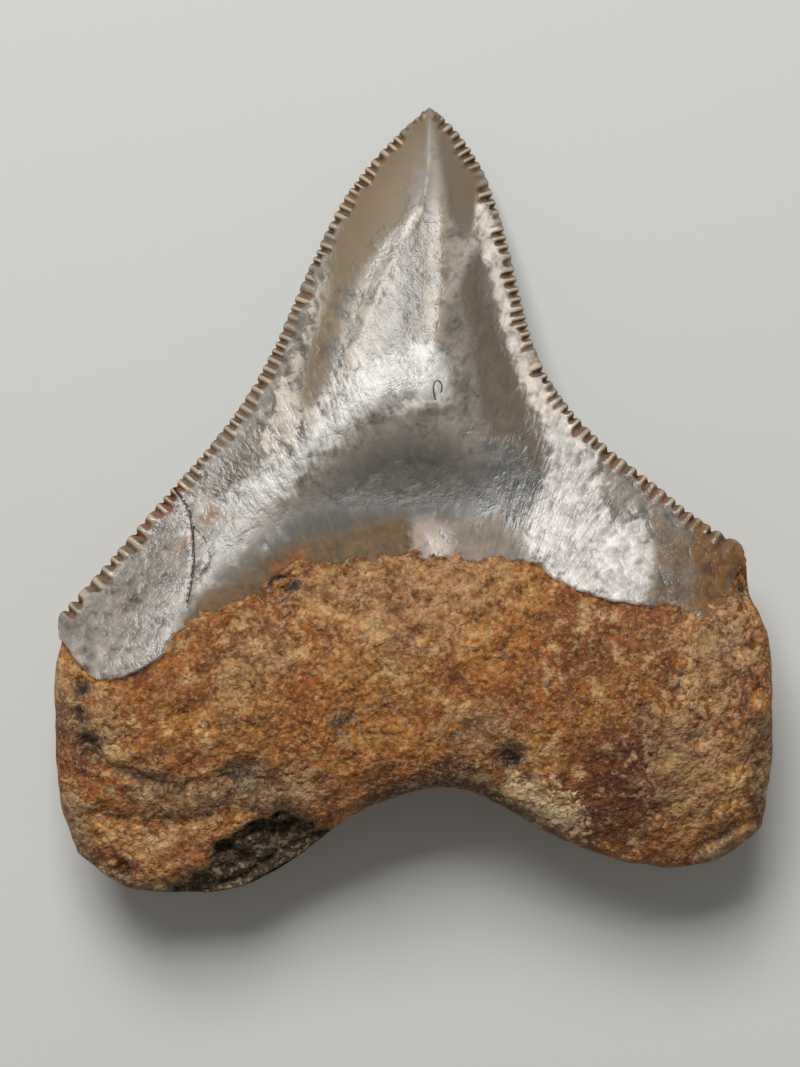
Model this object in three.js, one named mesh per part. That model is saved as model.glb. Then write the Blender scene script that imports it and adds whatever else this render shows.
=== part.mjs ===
// A fossil shark tooth, lying on its strongly curved lingual face with the flatter labial face up.
// Millimetres. +Y runs to the tip, +X to the right, +Z up; the origin is under the middle of the tooth.

import * as THREE from 'three';
import { mergeVertices } from 'three/addons/utils/BufferGeometryUtils.js';

// Driving dimensions
const crownRows = 34;          // rings from the tip to the shoulders
const rootRows = 12;           // rings from the shoulders to where the base starts to round over
const roundRows = 9;           // rings around the rounded base
const pointsPerRing = 72;
const roundedShare = 0.42;     // part of the root's height that rounds over into the base
const baseBendStart = 0.45;    // share of the way down where the rings start to follow the root lobes
const crownEnds = -0.3;        // the section turns from crown to root between these two rows:
const rootBegins = 0.35;       // -1 is the tip, 0 the shoulders and 1 the base
const crownCrowding = 0.2;     // 0 spaces a ring's points evenly, 1 crowds them towards the rim as on a circle
const floorHeight = 0;         // what lies lower than this is worn flat, and the tooth rests there
const smallestGap = 0.004;     // points closer than this are one point

const tip = [1.4, 33.2];
const leftShoulder = [-29.9, -10.5];
const rightShoulder = [27.7, -4.2];
const leftCorner = [-28.0, -29.8];
const rightCorner = [28.9, -27.6];

// Outline, seen from above: [x, y] of the two cutting edges, the root's sides and the base
const leftCuttingEdge = [
  tip, [-1.0, 31.2], [-5.5, 25.9], [-9.3, 18.1], [-11.5, 12.9],
  [-14.2, 7.9], [-17.3, 3.8], [-21.1, -0.5], [-25.2, -5.3], leftShoulder,
];
const rightCuttingEdge = [
  tip, [2.8, 32.2], [5.6, 28.4], [7.7, 22.5], [8.7, 18.2], [10.4, 11.8],
  [12.4, 8.2], [15.6, 4.6], [20.1, 1.0], [24.4, -2.4], rightShoulder,
];
const leftRootSide = [
  leftShoulder, [-29.5, -11.6], [-30.0, -13.8], [-29.9, -17.1], [-29.4, -25.3], leftCorner,
];
const rightRootSide = [
  rightShoulder, [28.0, -6.4], [27.9, -8.0], [29.2, -10.4], [29.9, -17.0], [30.0, -21.2], rightCorner,
];
const baseLine = [
  leftCorner, [-24.6, -32.4], [-17.0, -33.2], [-12.1, -31.8], [-6.5, -27.6], [-3.0, -25.6],
  [2.6, -24.1], [7.5, -25.9], [12.3, -28.7], [18.4, -30.7], [21.9, -31.0], [25.6, -30.3], rightCorner,
];

// Heights down the middle of the tooth, [y, z]: the labial face, the lingual face and the rim between them
const labialHeights = [
  [33.2, 1.3], [31.0, 2.4], [27.5, 4.0], [20.0, 6.7], [14.0, 8.8], [9.0, 10.3], [5.0, 10.8],
  [1.0, 10.7], [-2.0, 11.1], [-4.9, 12.0], [-8.0, 13.2], [-12.0, 14.3], [-17.0, 14.8], [-21.0, 14.5],
  [-25.0, 13.6], [-29.0, 12.6], [-33.2, 11.6],
];
const lingualHeights = [
  [33.2, 0.5], [31.0, -0.05], [29.0, -0.05], [20.0, 0.8], [12.0, 1.0], [4.0, 0.6], [-3.0, 0.1],
  [-8.0, -0.2], [-12.0, -0.3], [-16.0, -0.1], [-20.0, 0.8], [-24.0, 1.9], [-29.0, 3.2], [-33.2, 4.2],
];
const rimHeights = [
  [33.2, 0.9], [27.5, 2.5], [20.0, 4.4], [12.0, 6.4], [4.0, 8.1], [-4.0, 9.0], [-10.0, 9.2],
  [-20.0, 8.6], [-33.2, 8.2],
];

// How full a ring is. Each face's height across is (1 - side^breadth)^power, with side 0 in the middle and
// 1 at the rim: a power over 1 thins out to a cutting edge, and a small one gives a blunt, steep side.
const crownSection = { labial: { breadth: 2.0, power: 1.15 }, lingual: { breadth: 2.0, power: 0.75 } };
const rootSection = { labial: { breadth: 3.4, power: 0.3 }, lingual: { breadth: 2.2, power: 0.45 } };
const baseFullness = { labial: 0.4, lingual: 0.55 };    // the same, for the end that rounds over

// Shallow hollow in the labial face above the root, [x, y], and its reach in x and y
const hollow = { centre: [1.0, 1.5], reach: [10.0, 6.5], depth: 0.5 };

// Heights between the listed stations; stations are listed from the tip down
function heightProfile(stations) {
  const places = stations.map(([y]) => -y);
  const heights = stations.map(([, z]) => z);
  const between = new THREE.CubicInterpolant(places, heights, 1);
  return (y) => between.evaluate(THREE.MathUtils.clamp(-y, places[0], places.at(-1)))[0];
}

function outlineCurve(points) {
  return new THREE.CatmullRomCurve3(points.map(([x, y]) => new THREE.Vector3(x, y, 0)), false, 'centripetal');
}

const labialHeight = heightProfile(labialHeights);
const lingualHeight = heightProfile(lingualHeights);
const rimHeight = heightProfile(rimHeights);
const leftCrown = outlineCurve(leftCuttingEdge);
const rightCrown = outlineCurve(rightCuttingEdge);
const leftRoot = outlineCurve(leftRootSide);
const rightRoot = outlineCurve(rightRootSide);
const base = outlineCurve(baseLine);

// One row per ring: where it is on the crown's edges or the root's sides, and how far it has rounded over
function ringRows() {
  const rows = [];
  for (let i = 0; i <= crownRows; i += 1) {
    const along = i / crownRows;
    rows.push({ left: leftCrown.getPointAt(along), right: rightCrown.getPointAt(along), down: along - 1, round: 0 });
  }
  const straight = 1 - roundedShare;
  for (let i = 1; i <= rootRows + roundRows; i += 1) {
    const turn = Math.max(0, i - rootRows) / roundRows * Math.PI / 2;
    const along = Math.min(i / rootRows, 1) * straight + roundedShare * Math.sin(turn);
    rows.push({ left: leftRoot.getPointAt(along), right: rightRoot.getPointAt(along), down: along, round: turn });
  }
  return rows;
}

// Where a ring's points lie from above: across from left to right, bending with the lobes lower down
function planPoint(row, across) {
  const point = new THREE.Vector3().lerpVectors(row.left, row.right, across);
  const straightBase = new THREE.Vector3().lerpVectors(base.getPoint(0), base.getPoint(1), across);
  const overall = (row.down + 1) / 2;
  const bend = THREE.MathUtils.clamp((overall - baseBendStart) / (1 - baseBendStart), 0, 1) ** 2;
  return point.addScaledVector(base.getPointAt(across).sub(straightBase), bend);
}

function hollowDepth(x, y) {
  const dx = (x - hollow.centre[0]) / hollow.reach[0];
  const dy = (y - hollow.centre[1]) / hollow.reach[1];
  return hollow.depth * Math.exp(-(dx * dx + dy * dy));
}

function rootnessOf(row) {
  return THREE.MathUtils.smoothstep(row.down, crownEnds, rootBegins);
}

// How much of its full height a face has, from 0 on the rim to 1 in the middle of the tooth
function faceShare(face, row, side) {
  const rootness = rootnessOf(row);
  const breadth = THREE.MathUtils.lerp(crownSection[face].breadth, rootSection[face].breadth, rootness);
  const power = THREE.MathUtils.lerp(crownSection[face].power, rootSection[face].power, rootness);
  const across = Math.max(0, 1 - Math.abs(side) ** breadth) ** power;
  return across * Math.max(0, Math.cos(row.round)) ** baseFullness[face];
}

// A ring runs over the labial face from left to right, and back under the lingual face
function ringPoint(row, number) {
  const pointsPerFace = pointsPerRing / 2;
  const isLabial = number <= pointsPerFace;
  const across = (isLabial ? number : pointsPerRing - number) / pointsPerFace;
  const crowding = THREE.MathUtils.lerp(crownCrowding, 1, rootnessOf(row));
  const side = THREE.MathUtils.lerp(2 * across - 1, -Math.cos(Math.PI * across), crowding);
  const point = planPoint(row, (side + 1) / 2);
  const rim = rimHeight(point.y);
  if (isLabial) {
    const rise = labialHeight(point.y) - rim - hollowDepth(point.x, point.y);
    point.z = rim + rise * faceShare('labial', row, side);
  } else {
    point.z = rim + (lingualHeight(point.y) - rim) * faceShare('lingual', row, side);
  }
  point.z = Math.max(point.z, floorHeight);
  return point;
}

// The rings joined into one closed skin
function toothGeometry() {
  const rows = ringRows();
  const positions = [];
  for (const row of rows) {
    for (let j = 0; j < pointsPerRing; j += 1) {
      positions.push(...ringPoint(row, j));
    }
  }
  const faces = [];
  for (let i = 0; i + 1 < rows.length; i += 1) {
    for (let j = 0; j < pointsPerRing; j += 1) {
      const next = (j + 1) % pointsPerRing;
      const a = i * pointsPerRing + j;
      const b = i * pointsPerRing + next;
      const c = a + pointsPerRing;
      const d = b + pointsPerRing;
      faces.push(a, c, b, b, c, d);
    }
  }
  const skin = new THREE.BufferGeometry();
  skin.setAttribute('position', new THREE.Float32BufferAttribute(positions, 3));
  skin.setIndex(faces);
  return centred(withoutCollapsedFaces(mergeVertices(skin, smallestGap)));
}

// The tip and the base close on a point and on a line, so the faces that collapse there go
function withoutCollapsedFaces(geometry) {
  const index = geometry.getIndex().array;
  const kept = [];
  for (let i = 0; i < index.length; i += 3) {
    const [a, b, c] = index.slice(i, i + 3);
    if (a !== b && b !== c && a !== c) {
      kept.push(a, b, c);
    }
  }
  geometry.setIndex(kept);
  return geometry;
}

function centred(geometry) {
  geometry.computeBoundingBox();
  const middle = geometry.boundingBox.getCenter(new THREE.Vector3());
  geometry.translate(-middle.x, -middle.y, -geometry.boundingBox.min.z);
  geometry.computeVertexNormals();
  return geometry;
}

const fossil = new THREE.MeshStandardMaterial({ color: 0xa08468, roughness: 0.55, metalness: 0 });
const tooth = new THREE.Mesh(toothGeometry(), fossil);
tooth.name = 'tooth';

const part = new THREE.Group();
part.add(tooth);

export default part;
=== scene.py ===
import itertools
import math

import bmesh
import bpy
import numpy as np
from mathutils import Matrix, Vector


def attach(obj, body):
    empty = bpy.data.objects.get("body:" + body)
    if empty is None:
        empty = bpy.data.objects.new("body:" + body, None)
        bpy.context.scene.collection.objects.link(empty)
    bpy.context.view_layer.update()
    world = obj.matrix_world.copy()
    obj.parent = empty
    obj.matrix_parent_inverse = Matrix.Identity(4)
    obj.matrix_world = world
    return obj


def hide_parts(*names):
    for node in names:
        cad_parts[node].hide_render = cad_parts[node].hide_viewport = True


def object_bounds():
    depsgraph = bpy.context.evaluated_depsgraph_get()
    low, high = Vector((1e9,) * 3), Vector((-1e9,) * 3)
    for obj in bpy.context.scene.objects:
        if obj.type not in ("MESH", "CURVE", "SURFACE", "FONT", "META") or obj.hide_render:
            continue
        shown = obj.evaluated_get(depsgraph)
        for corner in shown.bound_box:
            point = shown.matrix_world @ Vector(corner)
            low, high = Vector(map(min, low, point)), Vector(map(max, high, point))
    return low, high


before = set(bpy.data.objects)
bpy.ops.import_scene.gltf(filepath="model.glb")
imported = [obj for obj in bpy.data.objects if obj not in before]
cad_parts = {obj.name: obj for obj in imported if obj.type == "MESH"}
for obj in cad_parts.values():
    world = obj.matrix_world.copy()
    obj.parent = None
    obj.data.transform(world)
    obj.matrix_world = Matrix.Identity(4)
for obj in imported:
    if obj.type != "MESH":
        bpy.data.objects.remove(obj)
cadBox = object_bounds()
print("stage: frame loaded")

mm = 0.001


def onlySelect(thing):
    bpy.ops.object.select_all(action="DESELECT")
    thing.select_set(True)
    bpy.context.view_layer.objects.active = thing


def readPoints(mesh):
    flat = np.empty(len(mesh.vertices) * 3)
    mesh.vertices.foreach_get("co", flat)
    return flat.reshape(-1, 3) / mm                      # all shaping is done in millimetres


def writePoints(mesh, points):
    mesh.vertices.foreach_set("co", (points * mm).ravel())
    mesh.update()


def readNormals(mesh):
    flat = np.empty(len(mesh.vertices) * 3)
    mesh.vertices.foreach_get("normal", flat)
    return flat.reshape(-1, 3)


def storeValue(mesh, name, values):
    layer = mesh.attributes.get(name) or mesh.attributes.new(name, "FLOAT", "POINT")
    layer.data.foreach_set("value", np.asarray(values, dtype=np.float32))


def smoothStep(value, low, high):
    t = np.clip((value - low) / (high - low), 0.0, 1.0)
    return t * t * (3.0 - 2.0 * t)


def roundedPath(points, rounds=2):
    path = np.array(points, dtype=float)
    for _ in range(rounds):                              # each round cuts every corner off
        near = path[:-1] * 0.75 + path[1:] * 0.25
        far = path[:-1] * 0.25 + path[1:] * 0.75
        middle = np.stack([near, far], axis=1).reshape(-1, 2)
        path = np.vstack([path[:1], middle, path[-1:]])
    return path


def measureFromPath(points, path):
    # for each point: how far off the path is, how far along it, on which side, and the way to its left
    best = np.full(len(points), np.inf)
    along = np.zeros(len(points))
    side = np.ones(len(points))
    inward = np.zeros((len(points), 2))
    travelled = 0.0
    for start, end in zip(path[:-1], path[1:]):
        step = end - start
        length = math.hypot(*step)
        if length < 1e-9:
            continue
        direction = step / length
        offset = points[:, :2] - start
        reach = np.clip(offset @ direction, 0.0, length)
        gap = offset - reach[:, None] * direction
        distance = np.hypot(gap[:, 0], gap[:, 1])
        closer = distance < best
        best[closer] = distance[closer]
        along[closer] = travelled + reach[closer]
        turn = direction[0] * offset[:, 1] - direction[1] * offset[:, 0]
        side[closer] = np.where(turn[closer] >= 0, 1.0, -1.0)
        inward[closer] = (-direction[1], direction[0])
        travelled += length
    return best, along, side, inward


def latticeValues(corners, seed):
    # a repeatable random number from -1 to 1 for each corner of a grid of cubes
    mixed = np.sin(corners @ np.array([127.1, 311.7, 74.7]) + seed * 53.3) * 43758.5453
    return np.modf(mixed)[0]


def lumpyNoise(points, size, seed, layers=1):
    total = np.zeros(len(points))
    for layer in range(layers):
        spots = points * (2.0 ** layer / size)
        cells = np.floor(spots)
        inside = spots - cells
        inside = inside * inside * (3.0 - 2.0 * inside)
        for corner in itertools.product((0, 1), repeat=3):
            weight = np.prod(np.where(corner, inside, 1.0 - inside), axis=1)
            total += weight * latticeValues(cells + corner, seed + layer) * 0.6 ** layer
    return total


def lineNoise(along, size, seed):
    points = np.zeros((len(along), 3))
    points[:, 0] = along
    return lumpyNoise(points, size, seed)


def refine(piece, chosen, cuts):
    mesh = piece.data
    ends = np.empty(len(mesh.edges) * 2, dtype=int)
    mesh.edges.foreach_get("vertices", ends)
    ends = ends.reshape(-1, 2)
    picked = chosen(ends)
    mesh.vertices.foreach_set("select", np.zeros(len(mesh.vertices), dtype=bool))
    mesh.polygons.foreach_set("select", np.zeros(len(mesh.polygons), dtype=bool))
    mesh.edges.foreach_set("select", picked)
    onlySelect(piece)
    bpy.context.tool_settings.mesh_select_mode = (False, True, False)
    bpy.ops.object.mode_set(mode="EDIT")
    bpy.ops.mesh.subdivide(number_cuts=cuts, ngon=False, smoothness=0)
    bpy.ops.object.mode_set(mode="OBJECT")


toothValues = {
    "creaseAbove": (-10.6, -4.4),        # the cutting edges end at these heights, left and right
    "mergeDistance": 0.002,
    "subdivisions": 2,
    "fineAbove": 1.2,                    # how far in from the cutting edges the mesh is made finer,
    "fineBelow": 0.4,                    # on the labial and on the lingual face,
    "fineEnamelLine": 0.33,              # and beside the enamel's edge
    "fineCrack": 0.3,                    # and the cracks
    "fineCuts": 3,
    "serrationPitch": 0.85,
    "serrationJitter": 0.28,
    "lowJitter": 0.35,                   # added where the serrations are wide, near the shoulders
    "unevenness": 0.6,
    "notchDepth": 0.27,
    "fluteDepth": 0.22,
    "fluteLift": 0.14,
    "fluteLength": 1.5,
    "enamelStep": 0.35,
    "zoneReach": 4.0,                    # how far outside its outline a patch of colour is measured
    # size, height and seed of each layer of lumps
    "rootLumps": ((4.5, 0.35, 51), (2.0, 0.22, 52), (0.95, 0.2, 53)),
    "rootInset": 0.1,
    "sideRoughness": 0.4,                # how much of the lumps the steep sides get
    "brokenDrop": 1.1,                   # how far the broken face lies below the crust,
    "brokenRoughness": 1.1,
    "brokenLedge": 8.4,                  # but it goes no lower than this
    "crackDepth": 0.14,
    "farAway": 9.0,                      # stands for no edge or crack near
    "boxMargin": 0.5,                    # bumps are pressed in softly this close to the CAD box
}

# the serrations of both edges: how far from the tip they get wider and by how much, until where they are
# worn and how much, the sign of the way in from the edge, and the seed of their noise
serrationValues = {
    "left": {"wideFrom": 45.0, "wider": 1.4, "wornUntil": 9.0, "wornBy": 0.5, "wayIn": 1, "seed": 11},
    "right": {"wideFrom": 36.0, "wider": 1.2, "wornUntil": 7.0, "wornBy": 0.7, "wayIn": -1, "seed": 12},
}

# the lower edge of the enamel on the labial face, from left to right
enamelLine = [
    (-31.0, -10.9), (-29.2, -11.9), (-27.8, -13.6), (-26.4, -15.1), (-24.6, -15.3), (-22.5, -14.3),
    (-20.6, -13.3), (-19.6, -11.6), (-18.4, -9.6), (-15.8, -9.3), (-12.4, -8.1), (-11.2, -6.6),
    (-9.9, -5.2), (-8.8, -5.7), (-5.0, -5.3), (-1.0, -4.8), (3.0, -5.3), (7.4, -5.0), (9.8, -5.4),
    (12.2, -7.3), (15.8, -8.6), (18.6, -8.9), (21.8, -9.4), (23.4, -10.2), (24.4, -9.2), (25.9, -8.6),
    (26.9, -7.2), (27.4, -5.4), (28.2, -3.6), (31.0, -3.0),
]
# and on the lingual face, where it arches higher over the root's swelling
enamelLineUnder = [
    (-31.0, -10.4), (-27.0, -9.4), (-20.0, -6.0), (-11.0, -1.6), (0.5, 1.2), (11.0, -0.4), (19.0, -3.0),
    (26.0, -4.6), (31.0, -4.4),
]
crackLines = [                           # path, and how wide it shows
    ([(-19.9, 0.6), (-19.1, -0.4), (-18.6, -1.3), (-18.3, -2.5), (-18.2, -4.1), (-18.1, -5.7),
      (-18.3, -7.3), (-18.6, -8.8)], 1.2),
    ([(-18.2, -2.6), (-17.2, -3.6), (-16.7, -4.8), (-16.8, -5.8), (-17.6, -6.6)], 0.62),
    ([(1.8, 7.9), (1.6, 8.9), (1.9, 9.6), (2.4, 9.2), (2.3, 8.5)], 0.6),
]
rootPits = [                             # x, y, radius, depth
    (-26.6, -20.6, 1.1, 1.4), (-5.6, -18.7, 1.2, 0.8), (8.0, -21.4, 1.2, 1.3), (-10.9, -7.6, 1.2, 1.1),
    (-14.2, -22.8, 1.4, 0.6), (-27.2, -15.9, 0.7, 0.5), (-27.6, -18.0, 0.7, 0.5), (9.1, -23.2, 0.6, 0.7),
    (-11.0, -26.9, 1.3, 1.3), (14.3, -12.4, 0.3, 0.3), (22.9, -19.8, 0.35, 0.3),
    (-23.9, -30.8, 0.8, 1.4), (-10.6, -26.9, 1.4, 1.2), (27.2, -7.4, 1.1, 1.5), (-9.9, -7.4, 0.7, 0.5),
]
rootGrooves = [                          # path, width, depth, and how far the root drops on its right
    ([(-27.6, -15.6), (-27.4, -18.2), (-26.6, -21.0), (-25.0, -22.4), (-22.2, -23.0)], 0.5, 0.45, 0.0),
    ([(-24.3, -22.3), (-20.8, -23.5), (-17.5, -23.6), (-16.1, -23.0), (-13.4, -22.0)], 0.35, 0.35, 0.4),
    ([(-26.4, -26.1), (-23.6, -26.6), (-19.0, -26.7), (-16.2, -26.1), (-12.6, -25.8)], 0.35, 0.35, 0.4),
    ([(20.6, -13.6), (21.6, -14.4), (22.6, -15.2)], 0.16, 0.3, 0.0),
    ([(23.3, -29.4), (24.6, -28.6), (26.5, -27.4), (28.4, -26.8)], 0.35, 0.6, 0.2),
    ([(3.4, -18.4), (2.2, -19.2), (0.8, -20.6)], 0.16, 0.25, 0.0),
]
scarpLine = [                            # the upper edge of the left lobe's broken face
    (-19.6, -31.9), (-17.1, -30.1), (-15.6, -28.6), (-13.9, -27.5), (-12.4, -26.6), (-10.8, -26.0),
    (-9.2, -26.4), (-7.6, -27.2), (-6.9, -28.0),
]


def colour(red, green, blue):
    # from the usual 0 to 255 to the linear values that a shader takes
    parts = [part / 255 for part in (red, green, blue)]
    return (*[((part + 0.055) / 1.055) ** 2.4 if part > 0.04 else part / 12.92 for part in parts], 1.0)


def zone(name, tint, strength, soft, ragged, outline):
    return {"name": name, "tint": colour(*tint), "strength": strength, "soft": soft, "ragged": ragged,
            "outline": outline}


enamelTints = {
    "base": colour(150, 140, 128),
    # the crest tint is a painted highlight on the serrations' lit crests; the two darker tints after it
    # are painted shade in the grooves between them, with real dark grime in spots
    "crest": colour(212, 188, 154),
    "valley": colour(116, 86, 58),
    "grimeAndShade": colour(50, 32, 20),
    "stain": colour(136, 70, 38),
    "crack": colour(66, 34, 24),
    "band": colour(94, 74, 56),
}
rootTints = {
    "ochre": colour(182, 119, 52),
    "rust": colour(157, 87, 29),
    "umber": colour(124, 70, 32),
    "cream": colour(216, 176, 122),
    "pore": colour(56, 34, 20),
    "scarp": colour(84, 64, 46),
    "crystal": colour(176, 150, 114),
}

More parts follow.
